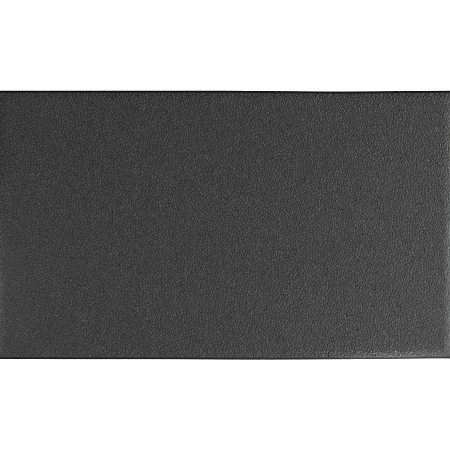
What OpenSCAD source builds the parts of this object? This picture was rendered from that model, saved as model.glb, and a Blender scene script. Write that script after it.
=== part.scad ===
// Anti-fatigue floor mat: a laminate of an embossed wear layer, a reinforcing scrim,
// a closed-cell foam core and a non-slip backing sheet, with a bevelled edge all round.
// Millimetres. X runs along the length, Y across the width and Z up. The origin is the
// middle of the underside, so the mat lies on the plane Z = 0.

/* [Mat] */
// Length of the mat, along X
mat_l = 1524; // [600:1:3000]
// Width of the mat, along Y
mat_w = 914; // [400:1:1500]

/* [Layers] */
// Thickness of the embossed wear layer in the middle of the mat
wear_t = 2.0; // [1.6:0.1:4.0]
// Thickness of the reinforcing scrim
scrim_t = 0.4; // [0.2:0.1:1.0]
// Thickness of the foam core
core_t = 6.1; // [3.0:0.1:20.0]
// Thickness of the backing sheet, which is also the height of the square heel at the outline
backing_t = 1.0; // [0.5:0.1:3.0]

/* [Edge] */
// Width of the bevelled edge, seen from above
bevel_w = 8.5; // [4.0:0.5:30.0]
// Width of the shoulder over which the top rolls off towards the bevel
shoulder_w = 32; // [10:1:120]
// How far the top drops over the shoulder
shoulder_drop = 1.0; // [0.2:0.1:1.2]
// Number of flats that make up the shoulder's curve
shoulder_flats = 6; // [2:1:12]

/* [Hidden] */

// Height of each joint between two layers, and of the mat's top
core_z = backing_t;
scrim_z = core_z + core_t;
wear_z = scrim_z + scrim_t;
top_z = wear_z + wear_t;
// Height of the bevel's upper edge, where the shoulder ends
rim_z = top_z - shoulder_drop;

// How far the bevel has cut in from the outline at height z
function bevel_inset(z) = z <= backing_t ? 0 : bevel_w * (z - backing_t) / (rim_z - backing_t);

// The shoulder's curve on a half section, from the flat top out to the bevel's upper edge
function shoulder_curve(half) = [
    for (i = [0 : shoulder_flats])
        let (t = i / shoulder_flats)
        [half - bevel_w - shoulder_w * (1 - t), top_z - shoulder_drop * t * t]
];

// One half of a layer's section, from its top down to its underside at z0
function flat_half(half, z0, z1) = [
    [half - bevel_inset(z1), z1],
    [half - bevel_inset(z0), z0]
];
function wear_half(half) = concat(shoulder_curve(half), [[half - bevel_inset(wear_z), wear_z]]);

// A half section and its mirror image, joined into one closed outline
function both_halves(points) = concat(
    points,
    [for (i = [len(points) - 1 : -1 : 0]) [-points[i].x, points[i].y]]
);

// A slab with the given half sections along X and along Y, and mitred corners
module mitred_slab(half_along_x, half_along_y) {
    intersection() {
        rotate([90, 0, 0])
            linear_extrude(height = mat_w + 2, center = true)
                polygon(both_halves(half_along_x));
        rotate([90, 0, 90])
            linear_extrude(height = mat_l + 2, center = true)
                polygon(both_halves(half_along_y));
    }
}

// A layer of even thickness between two heights, cut by the bevel
module flat_layer(z0, z1) {
    mitred_slab(flat_half(mat_l / 2, z0, z1), flat_half(mat_w / 2, z0, z1));
}

// The soft vinyl sheet that is stood on
module wear_layer() {
    color([0.27, 0.27, 0.27])
        mitred_slab(wear_half(mat_l / 2), wear_half(mat_w / 2));
}

// The textile that keeps the laminate from stretching and tearing
module reinforcing_scrim() {
    color([0.33, 0.33, 0.32])
        flat_layer(scrim_z, wear_z);
}

// The closed-cell sponge that cushions
module foam_core() {
    color([0.16, 0.16, 0.16])
        flat_layer(core_z, scrim_z);
}

// The non-slip skin that lies on the floor
module backing_sheet() {
    color([0.12, 0.12, 0.12])
        flat_layer(0, core_z);
}

wear_layer();
reinforcing_scrim();
foam_core();
backing_sheet();
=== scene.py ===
import math

import bmesh
import bpy
import numpy as np
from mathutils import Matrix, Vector
from mathutils.geometry import delaunay_2d_cdt
from mathutils.kdtree import KDTree


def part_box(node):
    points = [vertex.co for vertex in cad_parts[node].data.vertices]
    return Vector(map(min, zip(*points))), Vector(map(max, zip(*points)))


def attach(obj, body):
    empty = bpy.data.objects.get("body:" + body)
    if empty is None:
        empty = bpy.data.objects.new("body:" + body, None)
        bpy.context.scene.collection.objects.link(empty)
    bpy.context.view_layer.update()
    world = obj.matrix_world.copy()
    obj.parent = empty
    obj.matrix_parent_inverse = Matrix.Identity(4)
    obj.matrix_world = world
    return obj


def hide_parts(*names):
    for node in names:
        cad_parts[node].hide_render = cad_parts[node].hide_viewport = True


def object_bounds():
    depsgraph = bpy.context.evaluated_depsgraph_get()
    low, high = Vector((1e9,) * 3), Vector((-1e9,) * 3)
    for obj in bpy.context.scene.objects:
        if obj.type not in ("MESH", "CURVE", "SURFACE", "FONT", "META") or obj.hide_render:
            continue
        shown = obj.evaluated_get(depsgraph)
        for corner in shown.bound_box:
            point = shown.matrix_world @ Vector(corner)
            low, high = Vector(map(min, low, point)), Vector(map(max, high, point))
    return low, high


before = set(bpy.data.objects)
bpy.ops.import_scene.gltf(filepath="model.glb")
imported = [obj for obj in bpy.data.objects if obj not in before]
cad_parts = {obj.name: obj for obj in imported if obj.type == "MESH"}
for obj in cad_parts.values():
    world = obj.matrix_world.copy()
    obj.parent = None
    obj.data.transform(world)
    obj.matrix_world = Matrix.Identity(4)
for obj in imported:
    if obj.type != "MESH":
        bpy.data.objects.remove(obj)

# ---------------------------------------------------------------------------
# Sizes, in metres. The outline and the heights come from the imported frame.
# ---------------------------------------------------------------------------
CAD_LOW, CAD_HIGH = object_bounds()
MM = 0.001

HALF_L = CAD_HIGH.x
HALF_W = CAD_HIGH.y
TOP_Z = CAD_HIGH.z
WEAR_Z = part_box("wear_layer")[0].z
SCRIM_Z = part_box("reinforcing_scrim")[0].z
CORE_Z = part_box("foam_core")[0].z

# The bevel and the width of the shoulder, as in the CAD model, and the vinyl's own drop over the shoulder
BEVEL_W = 8.5 * MM
SHOULDER_W = 32 * MM
SHOULDER_DROP = 0.5 * MM
RIM_Z = TOP_Z - SHOULDER_DROP
RIM_HALF = np.array([HALF_L - BEVEL_W, HALF_W - BEVEL_W])

# The pebble emboss of the wear layer. Heights are shares of the depth: 0 in the deepest valley, 1 on the
# highest crown.
PEBBLE_PITCH = 8.2 * MM  # spacing of the lattice the pebbles start from
PEBBLE_JITTER = 0.8  # how far a pebble may leave its place, as a share of the pitch
PEBBLE_MISSING = 0.05  # share of places left empty
PEBBLE_GAP = 3.6 * MM  # least distance between two pebbles
PEBBLE_DEPTH = 1.27 * MM  # from the deepest valley to the highest crown
PEBBLE_LOWEST = 0.62  # height of the lowest crown
PEBBLE_TILT = 0.15  # spread of the crowns' lean
PEBBLE_FADE = 2.5 * MM  # width of the strip along the rim where the emboss dies out
CROWN_RISE = 2.4  # how much less than the valleys the crowns go down over the shoulder
VALLEY_RISE = 0.3  # height of the shallowest valley point
VALLEY_WELD = 0.08 * MM  # valley points closer than this become one
RING_SHARE = 0.62  # where the ring round a crown lies, from the crown to the valley
RING_HEIGHT = 0.72  # height of that ring, as a share of its crown's
RIM_CLEAR = 0.2  # how far inside the rim a pebble's middle must lie, as a share of the pitch
SLIVER = 0.02 * MM  # edges shorter than this are dissolved
SEED = 12
SHARP_ANGLE = math.radians(40)  # edges sharper than this aren't shaded smooth

# How much thinner the mat is at its rim, where the cut has drawn it down, how much more so near the
# front right corner, and how wide that band is
DRAWN_SHARE = 0.2
CORNER_SHARE = 0.16
DRAWN_W = 24 * MM

# The small chamfer between the embossed face and the cut face
CHAMFER_W = 0.5 * MM
CHAMFER_DROP = 0.25 * MM

# Rows of faces up the sponge's cut face, and how far its points are moved in or out
CUT_ROWS = 5
CUT_ROUGH = 0.15 * MM

# Distance between points along the outline of the flat layers, and the rings of points across the drawn band
EDGE_STEP = 6 * MM
BAND_RINGS = 5

# The ribs under the backing sheet
RIB_PITCH = 7 * MM
RIB_DEPTH = 0.35 * MM
RIB_MARGIN = 9 * MM

# The studio: the wall's distance and height, the bend at its foot, and how far the floor lies under the mat
WALL_R = 16.0
WALL_H = 12.0
WALL_BEND = 4.0
FLOOR_GAP = 0.2 * MM

# How much of each end of the mat the camera leaves out, so that hardly any of its bevel shows
END_CROP = 8 * MM

# The camera's lens and sensor width, in millimetres
LENS = 85
SENSOR_W = 36


# ---------------------------------------------------------------------------
# Shape helpers
# ---------------------------------------------------------------------------
def bevel_inset(z):
    """How far the bevel has cut in from the outline at height z."""
    return max(0.0, BEVEL_W * (z - CORE_Z) / (RIM_Z - CORE_Z))


def smooth(t):
    """A smooth step from 0 to 1."""
    t = np.clip(t, 0, 1)
    return t * t * (3 - 2 * t)


def bump(x, middle, half_width):
    """A rounded bump, 1 at the middle and 0 past the half width."""
    t = np.clip(np.abs(x - middle) / half_width, 0, 1)
    return 0.5 + 0.5 * np.cos(math.pi * t)


def side_pull(x, is_back):
    """How far the trimmed long sides stand inside the nominal outline, for each x."""
    back = 6.0 + 2.9 * bump(x, 0.38, 0.42)
    front = 6.1 + 1.1 * bump(x, -0.67, 0.12) - 1.0 * bump(x, 0.12, 0.40) + 2.7 * bump(x, 0.72, 0.32)
    return np.where(is_back, back, front) * MM


def roll(points, width):
    """0 over most of the mat, rising to 1 at the rim across a band of the given width."""
    t = np.clip(1 - (RIM_HALF - np.abs(points[:, :2])) / width, 0, 1)
    return 1 - (1 - t[:, 0] ** 2) * (1 - t[:, 1] ** 2)


def drawn_share(points):
    """How much of its height the mat has lost at the rim, for each point."""
    front = points[:, 1] < 0
    return DRAWN_SHARE + np.where(front, CORNER_SHARE * bump(points[:, 0], 0.75, 0.6), 0)


def settle(points):
    """Moves points of the ideal mat to where the trimmed, drawn down, slightly wavy mat has them."""
    x, y = points[:, 0], points[:, 1]
    share = np.abs(y) / HALF_W
    moved = points.copy()
    moved[:, 1] = y - np.sign(y) * side_pull(x, y > 0) * share
    moved[:, 2] *= 1 - drawn_share(points) * roll(points, DRAWN_W)
    return moved


# ---------------------------------------------------------------------------
# Wear layer: pebbles as Voronoi cells, each a low dome
# ---------------------------------------------------------------------------
def spaced_out(sites, gap):
    """The sites that stand at least gap from every site kept before them."""
    tree = KDTree(len(sites))
    for i, site in enumerate(sites):
        tree.insert((*site, 0), i)
    tree.balance()
    dropped = set()
    for i, site in enumerate(sites):
        if i not in dropped:
            dropped.update(j for _, j, _ in tree.find_range((*site, 0), gap) if j > i)
    return sites[[i for i in range(len(sites)) if i not in dropped]]


def pebble_sites(rng):
    """Irregular pebble centres: a jittered triangular lattice with some left out, and none too close."""
    row_step = PEBBLE_PITCH * math.sqrt(3) / 2
    rows = np.arange(-RIM_HALF[1], RIM_HALF[1] + row_step, row_step)
    columns = np.arange(-RIM_HALF[0], RIM_HALF[0] + PEBBLE_PITCH, PEBBLE_PITCH)
    x, y = np.meshgrid(columns, rows)
    x = x + (np.arange(len(rows)) % 2)[:, None] * PEBBLE_PITCH / 2
    sites = np.column_stack([x.ravel(), y.ravel()])
    angle = rng.uniform(0, 2 * math.pi, len(sites))
    reach = PEBBLE_JITTER * PEBBLE_PITCH * np.sqrt(rng.uniform(0, 1, len(sites)))
    sites += np.column_stack([np.cos(angle), np.sin(angle)]) * reach[:, None]
    inside = np.all(np.abs(sites) < RIM_HALF - RIM_CLEAR * PEBBLE_PITCH, axis=1)
    kept = rng.uniform(0, 1, len(sites)) > PEBBLE_MISSING
    return spaced_out(sites[inside & kept], PEBBLE_GAP)


def mirrored(sites, reach):
    """Copies of the sites near each border, mirrored in it, which makes the cells end on it."""
    copies = []
    for sx in (-1, 0, 1):
        for sy in (-1, 0, 1):
            if sx == 0 and sy == 0:
                continue
            side = np.array([sx, sy])
            near = np.all((side == 0) | (side * sites > RIM_HALF - reach), axis=1)
            flipped = np.where(side == 0, sites, 2 * side * RIM_HALF - sites)
            copies.append(flipped[near])
    return np.vstack(copies)


def cell_corners(sites):
    """Voronoi corners, and for each corner of each cell its site, its corner and the next of that cell."""
    everything = np.vstack([sites, mirrored(sites, 3 * PEBBLE_PITCH)])
    found = delaunay_2d_cdt([Vector(p) for p in everything.tolist()], [], [], 0, 1e-9)
    points = np.array([v[:] for v in found[0]])
    triangles = np.array(found[2])
    a, b, c = (points[triangles[:, k]] for k in range(3))
    ab, ac = b - a, c - a
    twice = 2 * (ab[:, 0] * ac[:, 1] - ab[:, 1] * ac[:, 0])
    ab2, ac2 = (ab ** 2).sum(1), (ac ** 2).sum(1)
    corners = a + np.column_stack([
        (ac[:, 1] * ab2 - ab[:, 1] * ac2) / twice,
        (ab[:, 0] * ac2 - ac[:, 0] * ab2) / twice,
    ])
    site = triangles.ravel()
    corner = np.repeat(np.arange(len(triangles)), 3)
    own = site < len(sites)
    site, corner = site[own], corner[own]
    away = corners[corner] - sites[site]
    order = np.lexsort([np.arctan2(away[:, 1], away[:, 0]), site])
    site, corner = site[order], corner[order]
    starts = np.searchsorted(site, np.arange(len(sites)))
    following = np.arange(1, len(site) + 1)
    ends = np.append(starts[1:], len(site)) - 1
    following[ends] = starts
    return corners, site, corner, following


def emboss_strength(points):
    """1 over most of the mat, fading to 0 at the rim, where the cut has pressed the pebbles flat."""
    gap = np.min(RIM_HALF - np.abs(points), axis=1)
    return smooth(gap / PEBBLE_FADE)


def embossed(points, height):
    """Heights of the wear layer's face: over the shoulder the valleys roll off and the crowns stand out."""
    strength = emboss_strength(points)
    emboss = PEBBLE_DEPTH * (1 - height) * strength
    return TOP_Z - emboss - SHOULDER_DROP * roll(points, SHOULDER_W) * (1 - CROWN_RISE * height * strength)


def pebble_field():
    """Points, faces and point heights of the embossed face, and the number of its first valley point."""
    rng = np.random.default_rng(SEED)
    sites = pebble_sites(rng)
    corners, site, corner, following = cell_corners(sites)
    corners = np.clip(corners, -RIM_HALF, RIM_HALF)
    count = np.bincount(site, minlength=len(sites))[:, None]
    middle = np.zeros_like(sites)
    np.add.at(middle, site, corners[corner])
    middle /= count
    ring = middle[site] + RING_SHARE * (corners[corner] - middle[site])
    lift = rng.uniform(PEBBLE_LOWEST, 1, len(sites))
    tilt = rng.normal(0, PEBBLE_TILT, (len(sites), 2)) / (PEBBLE_PITCH / 2)
    lean = ((ring - middle[site]) * tilt[site]).sum(1)
    height = np.concatenate([
        lift,
        np.clip(lift[site] * RING_HEIGHT + lean, VALLEY_RISE, 1),
        rng.uniform(0, VALLEY_RISE, len(corners)),
    ])
    flat = np.vstack([middle, ring, corners])
    points = np.column_stack([flat, embossed(flat, height)])

    crown_at = site
    ring_at = len(sites) + np.arange(len(site))
    first_corner = len(sites) + len(site)
    corner_at = first_corner + corner
    fans = np.column_stack([crown_at, ring_at, ring_at[following]])
    skirts = np.column_stack([ring_at, corner_at, corner_at[following], ring_at[following]])
    return points, fans.tolist() + skirts.tolist(), height, first_corner


def next_row(bm, border):
    """Extrudes the border edges, and returns the new row's points and edges."""
    made = bmesh.ops.extrude_edge_only(bm, edges=border)["geom"]
    row = [g for g in made if isinstance(g, bmesh.types.BMVert)]
    return row, [g for g in made if isinstance(g, bmesh.types.BMEdge) and g.is_boundary]


def resize_row(row, inset, z):
    """Moves a rectangular row of points to the given inset from the outline, at height z."""
    x_now = max(abs(v.co.x) for v in row)
    y_now = max(abs(v.co.y) for v in row)
    for v in row:
        v.co = (v.co.x * (HALF_L - inset) / x_now, v.co.y * (HALF_W - inset) / y_now, z)


def is_past_rim(point):
    """Whether a point lies outside the rim, as the whole cut face does."""
    return abs(point.x) > RIM_HALF[0] or abs(point.y) > RIM_HALF[1]


def wear_layer(face_material, cut_material):
    """The embossed vinyl sheet: pebbled face, bevelled cut edge and flat underside."""
    points, faces, height, first_corner = pebble_field()
    mesh = bpy.data.meshes.new("embossed_wear_layer")
    mesh.from_pydata(points.tolist(), [], faces)
    mesh.attributes.new("pebble", "FLOAT", "POINT").data.foreach_set("value", height.astype(np.float32))

    bm = bmesh.new()
    bm.from_mesh(mesh)
    valleys = [v for v in bm.verts if v.index >= first_corner]
    bmesh.ops.remove_doubles(bm, verts=valleys, dist=VALLEY_WELD)
    loose = [v for v in bm.verts if not v.link_faces]
    bmesh.ops.delete(bm, geom=loose, context="VERTS")
    bmesh.ops.dissolve_degenerate(bm, edges=bm.edges, dist=SLIVER)
    border = [e for e in bm.edges if e.is_boundary]
    for inset, z in (
        (BEVEL_W - CHAMFER_W, RIM_Z - CHAMFER_DROP),
        (bevel_inset(WEAR_Z), WEAR_Z),
        *band_rings(WEAR_Z),
    ):
        row, border = next_row(bm, border)
        resize_row(row, inset, z)
    bmesh.ops.contextual_create(bm, geom=border)
    bmesh.ops.recalc_face_normals(bm, faces=bm.faces)
    for face in bm.faces:
        face.material_index = int(is_past_rim(face.calc_center_median()))
    bm.to_mesh(mesh)
    bm.free()
    return finished("embossed_wear_layer", mesh, face_material, cut_material)


def finished(name, mesh, *materials):
    """The object of a mesh, settled to the trimmed outline and shaded smooth but for its sharp edges."""
    co = np.empty(len(mesh.vertices) * 3, np.float32)
    mesh.vertices.foreach_get("co", co)
    mesh.vertices.foreach_set("co", settle(co.reshape(-1, 3).astype(float)).ravel())
    mesh.update()
    mesh.shade_smooth()
    mesh.set_sharp_from_angle(angle=SHARP_ANGLE)
    for material in materials:
        mesh.materials.append(material)
    piece = bpy.data.objects.new(name, mesh)
    bpy.context.scene.collection.objects.link(piece)
    return piece


# ---------------------------------------------------------------------------
# Flat layers
# ---------------------------------------------------------------------------
def outline(half_l, half_w):
    """Points round a rectangle, anticlockwise, with one at each corner."""
    along_x = max(2, round(2 * HALF_L / EDGE_STEP))
    along_y = max(2, round(2 * HALF_W / EDGE_STEP))
    x = np.linspace(-half_l, half_l, along_x + 1)
    y = np.linspace(-half_w, half_w, along_y + 1)
    return np.vstack([
        np.column_stack([x[:-1], np.full(along_x, -half_w)]),
        np.column_stack([np.full(along_y, half_l), y[:-1]]),
        np.column_stack([x[:0:-1], np.full(along_x, half_w)]),
        np.column_stack([np.full(along_y, -half_l), y[:0:-1]]),
    ])


def layered_slab(name, z0, z1, cut_rows, material, roughen=0.0):
    """A closed slab from z0 to z1, with its cut face in cut_rows rows, roughened by up to roughen."""
    rng = np.random.default_rng(SEED + len(name))
    rows = band_rings(z0)[::-1] + rows_between(z0, z1, cut_rows) + band_rings(z1)
    rings = []
    for i, (inset, z) in enumerate(rows):
        ring = outline(HALF_L - inset, HALF_W - inset)
        if roughen and BAND_RINGS < i < BAND_RINGS + cut_rows:
            ring = ring * (1 + rng.uniform(-roughen, roughen, (len(ring), 1)) / HALF_W)
        rings.append(np.column_stack([ring, np.full(len(ring), z)]))
    count = len(rings[0])
    here = np.arange(count)
    after = (here + 1) % count
    faces = []
    for i in range(len(rows) - 1):
        low, high = i * count, (i + 1) * count
        faces += np.column_stack([low + here, low + after, high + after, high + here]).tolist()
    faces.append(here[::-1].tolist())
    faces.append((here + (len(rows) - 1) * count).tolist())
    mesh = bpy.data.meshes.new(name)
    mesh.from_pydata(np.vstack(rings).tolist(), [], faces)
    return finished(name, mesh, material)


def rows_between(z0, z1, count):
    """Evenly spaced rows of (inset, height) up the bevel from z0 to z1."""
    return [(bevel_inset(z), z) for z in np.linspace(z0, z1, count + 1)]


def band_rings(z):
    """Rows of (inset, height) inwards from the rim, across the drawn band, on a face at height z."""
    return [(BEVEL_W + DRAWN_W * (i + 1) / BAND_RINGS, z) for i in range(BAND_RINGS)]


def backing_sheet(material):
    """The non-slip skin: a square heel and lengthwise ribs under it."""
    x = np.linspace(-HALF_L, HALF_L, round(2 * HALF_L / (3 * EDGE_STEP)) + 1)
    ribs = int(2 * (HALF_W - RIB_MARGIN) / RIB_PITCH)
    first = -ribs * RIB_PITCH / 2
    y, z = [-HALF_W], [0.0]
    for i in range(ribs):
        for share, height in ((0.0, 0.0), (0.15, RIB_DEPTH), (0.45, RIB_DEPTH), (0.6, 0.0)):
            y.append(first + (i + share) * RIB_PITCH)
            z.append(height)
    y.append(HALF_W)
    z.append(0.0)
    nx, ny = len(x), len(y)
    grid_x, grid_y = np.meshgrid(x, y, indexing="ij")
    grid_z = np.tile(z, (nx, 1))
    grid_z[0] = grid_z[-1] = 0.0
    points = np.column_stack([grid_x.ravel(), grid_y.ravel(), grid_z.ravel()])
    index = np.arange(nx * ny).reshape(nx, ny)
    quads = np.stack([index[:-1, :-1], index[:-1, 1:], index[1:, 1:], index[1:, :-1]], -1).reshape(-1, 4)
    mesh = bpy.data.meshes.new("ribbed_backing")
    mesh.from_pydata(points.tolist(), [], quads.tolist())
    bm = bmesh.new()
    bm.from_mesh(mesh)
    border = [e for e in bm.edges if e.is_boundary]
    for inset, z in ((0, CORE_Z), *band_rings(CORE_Z)):
        row, border = next_row(bm, border)
        resize_row(row, inset, z)
    bmesh.ops.contextual_create(bm, geom=border)
    bmesh.ops.recalc_face_normals(bm, faces=bm.faces)
    bm.to_mesh(mesh)
    bm.free()
    return finished("ribbed_backing", mesh, material)


# ---------------------------------------------------------------------------
# Materials
# ---------------------------------------------------------------------------
def new_material(name):
    """A node material with its Principled node and a vector in the row frame."""
    material = bpy.data.materials.new(name)
    material.use_nodes = True
    nodes = material.node_tree.nodes
    shader = nodes["Principled BSDF"]
    place = nodes.new("ShaderNodeTexCoord").outputs["Object"]
    return material, nodes, material.node_tree.links, shader, place


def noise(nodes, links, place, size, detail):
    """A noise texture whose features are about size metres across."""
    node = nodes.new("ShaderNodeTexNoise")
    node.inputs["Scale"].default_value = 1 / size
    node.inputs["Detail"].default_value = detail
    links.new(place, node.inputs["Vector"])
    return node.outputs["Fac"]


def ranged(nodes, links, value, low, high, from_low=0.0, from_high=1.0):
    """A value mapped from one range to another."""
    node = nodes.new("ShaderNodeMapRange")
    node.inputs["From Min"].default_value = from_low
    node.inputs["From Max"].default_value = from_high
    node.inputs["To Min"].default_value = low
    node.inputs["To Max"].default_value = high
    links.new(value, node.inputs["Value"])
    return node.outputs["Result"]


def height_of(nodes, links, place):
    """The height part of a place."""
    node = nodes.new("ShaderNodeSeparateXYZ")
    links.new(place, node.inputs[0])
    return node.outputs["Z"]


def multiplied(nodes, links, a, b):
    """The product of two values."""
    node = nodes.new("ShaderNodeMath")
    node.operation = "MULTIPLY"
    links.new(a, node.inputs[0])
    links.new(b, node.inputs[1])
    return node.outputs["Value"]


def grey(nodes, links, value):
    """A value as a neutral grey colour."""
    node = nodes.new("ShaderNodeCombineColor")
    for channel in ("Red", "Green", "Blue"):
        links.new(value, node.inputs[channel])
    return node.outputs["Color"]


def bumped(nodes, links, shader, height, distance):
    """Gives the shader a bump from a height of the given depth in metres."""
    node = nodes.new("ShaderNodeBump")
    node.inputs["Distance"].default_value = distance
    links.new(height, node.inputs["Height"])
    links.new(node.outputs["Normal"], shader.inputs["Normal"])


def wear_material():
    """Matte embossed vinyl: charcoal, with painted shade darkening the valleys, and a fine grain on each
    pebble.
    """
    material, nodes, links, shader, place = new_material("embossed_vinyl")
    pebble = nodes.new("ShaderNodeAttribute")
    pebble.attribute_name = "pebble"
    # Painted shade: the colour runs from the crowns down to near black in the valleys between the pebbles
    painted_valley_shade = ranged(nodes, links, pebble.outputs["Fac"], 0.002, 0.045)
    cloud = ranged(nodes, links, noise(nodes, links, place, 0.09, 4.0), 0.93, 1.07, 0.3, 0.7)
    links.new(grey(nodes, links, multiplied(nodes, links, painted_valley_shade, cloud)), shader.inputs["Base Color"])
    rough = ranged(nodes, links, noise(nodes, links, place, 0.012, 3.0), 0.60, 0.70, 0.3, 0.7)
    links.new(rough, shader.inputs["Roughness"])
    bumped(nodes, links, shader, noise(nodes, links, place, 0.0009, 3.0), 0.00012)
    return material


def cut_vinyl_material():
    """The vinyl's cut face: dull and dark, with the fine marks of the blade."""
    material, nodes, links, shader, place = new_material("cut_vinyl")
    marks = noise(nodes, links, place, 0.0008, 3.0)
    tone = ranged(nodes, links, marks, 0.004, 0.010, 0.3, 0.7)
    links.new(grey(nodes, links, tone), shader.inputs["Base Color"])
    shader.inputs["Roughness"].default_value = 0.85
    shader.inputs["Specular IOR Level"].default_value = 0.1
    bumped(nodes, links, shader, marks, 0.0001)
    return material


def foam_material():
    """Black closed-cell sponge with its cut cells, and painted shade darkening it towards the foot of the
    bevel.
    """
    material, nodes, links, shader, place = new_material("cut_sponge")
    cells = nodes.new("ShaderNodeTexVoronoi")
    cells.inputs["Scale"].default_value = 1 / 0.0009
    links.new(place, cells.inputs["Vector"])
    cut = ranged(nodes, links, cells.outputs["Distance"], 0.6, 1.4, 0.0, 0.7)
    # Painted shade: the sponge's colour darkens from the scrim down to the foot of the bevel
    tone = ranged(nodes, links, height_of(nodes, links, place), 0.0015, 0.006, CORE_Z, SCRIM_Z)
    links.new(grey(nodes, links, multiplied(nodes, links, tone, cut)), shader.inputs["Base Color"])
    shader.inputs["Roughness"].default_value = 0.8
    shader.inputs["Specular IOR Level"].default_value = 0.1
    bumped(nodes, links, shader, cells.outputs["Distance"], 0.0004)
    return material


def backing_material():
    """Black non-slip vinyl."""
    material, nodes, links, shader, place = new_material("backing_vinyl")
    tone = ranged(nodes, links, noise(nodes, links, place, 0.02, 3.0), 0.009, 0.014, 0.3, 0.7)
    links.new(grey(nodes, links, tone), shader.inputs["Base Color"])
    shader.inputs["Roughness"].default_value = 0.6
    bumped(nodes, links, shader, noise(nodes, links, place, 0.0012, 2.0), 0.0001)
    return material


def scrim_material():
    """Woven reinforcing textile."""
    material, nodes, links, shader, place = new_material("scrim_weave")
    heights = []
    for direction in ("X", "Y"):
        wave = nodes.new("ShaderNodeTexWave")
        wave.bands_direction = direction
        wave.inputs["Scale"].default_value = 1 / 0.0016 / 3
        links.new(place, wave.inputs["Vector"])
        heights.append(wave.outputs["Fac"])
    weave = multiplied(nodes, links, *heights)
    links.new(grey(nodes, links, ranged(nodes, links, weave, 0.02, 0.05)), shader.inputs["Base Color"])
    shader.inputs["Roughness"].default_value = 0.85
    bumped(nodes, links, shader, weave, 0.0002)
    return material


# ---------------------------------------------------------------------------
# Stage, light and camera
# ---------------------------------------------------------------------------
def studio():
    """A pale glowing floor that curves up into a wall all round, and throws no light on the mat."""
    profile = [(0.0, 0.0)]
    profile += [(WALL_R - WALL_BEND * (1 - math.sin(a)), WALL_BEND * (1 - math.cos(a)))
                for a in np.linspace(0, math.pi / 2, 7)]
    profile.append((WALL_R, WALL_H))
    bm = bmesh.new()
    row = [bm.verts.new((r, 0, z)) for r, z in profile]
    edges = [bm.edges.new(pair) for pair in zip(row[:-1], row[1:])]
    bmesh.ops.spin(bm, geom=row + edges, cent=(0, 0, 0), axis=(0, 0, 1), angle=2 * math.pi, steps=48,
                   use_merge=True)
    bmesh.ops.remove_doubles(bm, verts=bm.verts, dist=MM)
    bmesh.ops.recalc_face_normals(bm, faces=bm.faces)
    mesh = bpy.data.meshes.new("studio")
    bm.to_mesh(mesh)
    bm.free()
    material, _, _, shader, _ = new_material("studio")
    shader.inputs["Base Color"].default_value = (0.85, 0.85, 0.85, 1)
    shader.inputs["Roughness"].default_value = 0.9
    shader.inputs["Emission Color"].default_value = (1, 1, 1, 1)
    shader.inputs["Emission Strength"].default_value = 1.0
    mesh.materials.append(material)
    backdrop = bpy.data.objects.new("studio", mesh)
    backdrop.location.z = -FLOOR_GAP
    backdrop.visible_diffuse = False
    backdrop.visible_glossy = False
    backdrop.visible_shadow = False
    bpy.context.scene.collection.objects.link(backdrop)


def around(azimuth, elevation, distance):
    """The place at an azimuth and elevation, in degrees, and a distance from the middle of the mat."""
    flat = distance * math.cos(math.radians(elevation))
    turn = math.radians(azimuth)
    return (flat * math.cos(turn), flat * math.sin(turn), distance * math.sin(math.radians(elevation)))


def softbox(name, place, aim, width, height, watts):
    """An area light at place that faces aim, and that the camera doesn't see."""
    light = bpy.data.lights.new(name, "AREA")
    light.shape = "RECTANGLE"
    light.size = width
    light.size_y = height
    light.energy = watts
    lamp = bpy.data.objects.new(name, light)
    lamp.location = place
    lamp.rotation_euler = (Vector(aim) - Vector(place)).to_track_quat("-Z", "Y").to_euler()
    lamp.visible_camera = False
    bpy.context.scene.collection.objects.link(lamp)


def camera():
    """A long lens straight above, with the mat's length filling the frame."""
    data = bpy.data.cameras.new("camera")
    data.lens = LENS
    data.sensor_width = SENSOR_W
    eye = bpy.data.objects.new("camera", data)
    eye.location = (0, 0, (HALF_L - END_CROP) / (SENSOR_W / 2 / LENS))
    bpy.context.scene.collection.objects.link(eye)
    bpy.context.scene.camera = eye


# ---------------------------------------------------------------------------
# The scene
# ---------------------------------------------------------------------------
bpy.context.scene.view_settings.view_transform = "Standard"
bpy.context.scene.cycles.filter_width = 1.0
studio()
camera()

# Broad lights, all aimed at the middle of the mat: name, azimuth, elevation, distance, size and watts
for name, azimuth, elevation, distance, size, watts in (
    ("key", -5, 18, 15.0, 3.75, 6450),
    ("fill", -165, 25, 4.0, 1.0, 53),
    ("front", -55, 12, 3.0, 0.4, 72),
):
    softbox(name, around(azimuth, elevation, distance), (0, 0, 0), size, size, watts)

# Small low lights that brighten the edges nearest them
softbox("front_strip", (0.60, -0.72, 0.010), (0.60, -0.45, 0.008), 0.10, 0.008, 4.5)
softbox("left_strip", (-1.03, -0.25, 0.02), (-0.76, -0.25, 0.012), 0.4, 0.02, 3.3)
softbox("right_strip", (1.03, 0.10, 0.014), (0.76, 0.10, 0.008), 0.15, 0.01, 1.3)

wear = wear_layer(wear_material(), cut_vinyl_material())
scrim = layered_slab("woven_scrim", SCRIM_Z, WEAR_Z, 1, scrim_material())
core = layered_slab("cut_foam_core", CORE_Z, SCRIM_Z, CUT_ROWS, foam_material(), CUT_ROUGH)
backing = backing_sheet(backing_material())
for piece, node, slot in (
    (wear, "wear_layer", "wear_vinyl"),
    (scrim, "reinforcing_scrim", "scrim_textile"),
    (core, "foam_core", "core_foam"),
    (backing, "backing_sheet", "backing_vinyl"),
):
    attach(piece, "root")
    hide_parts(node)
